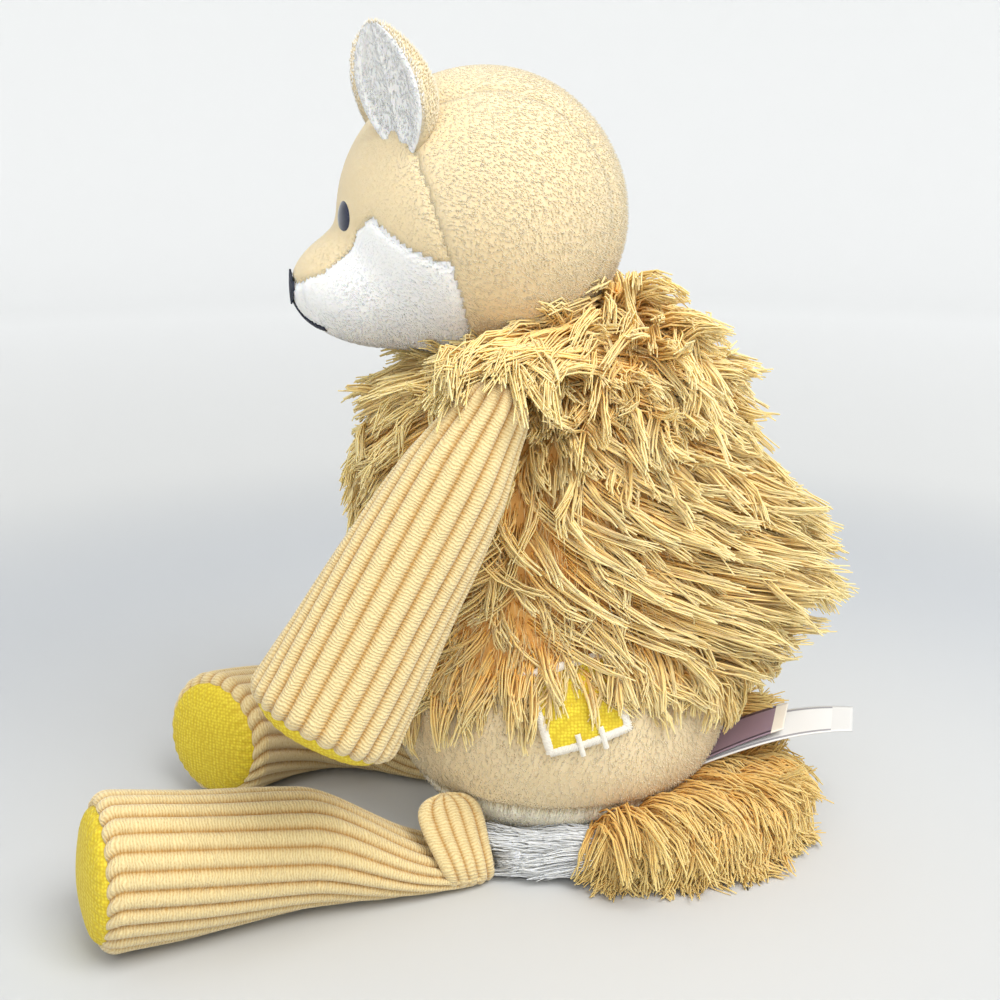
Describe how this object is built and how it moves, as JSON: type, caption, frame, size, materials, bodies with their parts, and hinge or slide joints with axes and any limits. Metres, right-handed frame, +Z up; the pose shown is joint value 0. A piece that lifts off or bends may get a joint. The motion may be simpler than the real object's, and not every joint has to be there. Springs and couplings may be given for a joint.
{
  "type": "plush fox",
  "caption": "Seated plush fox with a long shaggy trunk, corduroy arms and legs, cupped ears, a patched hip and a tucked tail.",
  "frame": {"origin": "middle of the flat seat, on the floor", "axes": "+Z up, the fox faces -Y, its left side is +X"},
  "size_m": [0.1968, 0.2579, 0.2682],
  "materials": {
    "tan_pile": "short brushed plush",
    "white_pile": "short brushed plush",
    "shag_pile": "long clumped yarn-like pile",
    "corduroy": "wide-wale chenille corduroy",
    "yellow_satin": "satin with a fine dot weave",
    "white_thread": "satin stitch",
    "dark_thread": "satin stitch",
    "white_label": "woven satin ribbon, bare",
    "plum_label": "woven satin ribbon, bare",
    "stuffing": "polyester fibre fill",
    "eye_plastic": "polished",
    "white_plastic": "moulded"
  },
  "bodies": {
    "trunk": {"body_stuffing": "stuffing", "base_panel": "tan_pile", "lower_body_cover": "tan_pile", "shag_body_cover": "shag_pile", "hip_patch": "yellow_satin", "hip_patch_border": "white_thread", "care_label": "white_label", "side_label": "plum_label"},
    "head": {"head_stuffing": "stuffing", "face_cover": "tan_pile", "muzzle_cover": "white_pile", "head_crown_cover": "tan_pile", "head_side_left": "tan_pile", "head_side_right": "tan_pile", "nose_stitching": "dark_thread", "mouth_stitching": "dark_thread", "eye_left": "eye_plastic", "eye_right": "eye_plastic", "eye_washer_left": "white_plastic", "eye_washer_right": "white_plastic"},
    "ear_left": {"ear_back_left": "tan_pile", "ear_lining_left": "white_pile"},
    "ear_right": {"ear_back_right": "tan_pile", "ear_lining_right": "white_pile"},
    "arm_left": {"arm_sleeve_left": "corduroy", "arm_stuffing_left": "stuffing", "paw_pad_left": "yellow_satin"},
    "arm_right": {"arm_sleeve_right": "corduroy", "arm_stuffing_right": "stuffing", "paw_pad_right": "yellow_satin"},
    "leg_left": {"leg_sleeve_left": "corduroy", "leg_stuffing_left": "stuffing", "sole_pad_left": "yellow_satin"},
    "leg_right": {"leg_sleeve_right": "corduroy", "leg_stuffing_right": "stuffing", "sole_pad_right": "yellow_satin"},
    "tail": {"tail_cover": "shag_pile", "tail_tip_cover": "white_pile", "tail_stuffing": "stuffing"}
  },
  "joints": [
    {"name": "neck_nod", "type": "hinge", "parent": "trunk", "child": "head", "pos_m": [0, -0.026, 0.213], "axis": [1, 0, 0], "range_deg": [-12, 10], "stiffness_Nm_per_rad": 0.6},
    {"name": "ear_left_flex", "type": "hinge", "parent": "head", "child": "ear_left", "pos_m": [0.02391, -0.04812, 0.24753], "axis": [0.829, 0.5592, 0], "range_deg": [-12, 6], "stiffness_Nm_per_rad": 0.02},
    {"name": "ear_right_flex", "type": "hinge", "parent": "head", "child": "ear_right", "pos_m": [-0.02391, -0.04812, 0.24753], "axis": [0.829, -0.5592, 0], "range_deg": [-12, 6], "stiffness_Nm_per_rad": 0.02},
    {"name": "shoulder_left", "type": "hinge", "parent": "trunk", "child": "arm_left", "pos_m": [0, -0.033, 0.158], "axis": [1, 0, 0], "range_deg": [-110, 50], "stiffness_Nm_per_rad": 0.25},
    {"name": "shoulder_right", "type": "hinge", "parent": "trunk", "child": "arm_right", "pos_m": [0, -0.033, 0.158], "axis": [1, 0, 0], "range_deg": [-130, 30], "stiffness_Nm_per_rad": 0.25},
    {"name": "hip_left", "type": "hinge", "parent": "trunk", "child": "leg_left", "pos_m": [0, -0.0415, 0.0153], "axis": [1, 0, 0], "range_deg": [-15, 85], "stiffness_Nm_per_rad": 0.25},
    {"name": "hip_right", "type": "hinge", "parent": "trunk", "child": "leg_right", "pos_m": [0, -0.0415, 0.0153], "axis": [1, 0, 0], "range_deg": [-15, 85], "stiffness_Nm_per_rad": 0.25},
    {"name": "tail_wag", "type": "hinge", "parent": "trunk", "child": "tail", "pos_m": [0, 0.065, 0.025], "axis": [0, 0, 1], "range_deg": [0, 100], "stiffness_Nm_per_rad": 0.1}
  ]
}
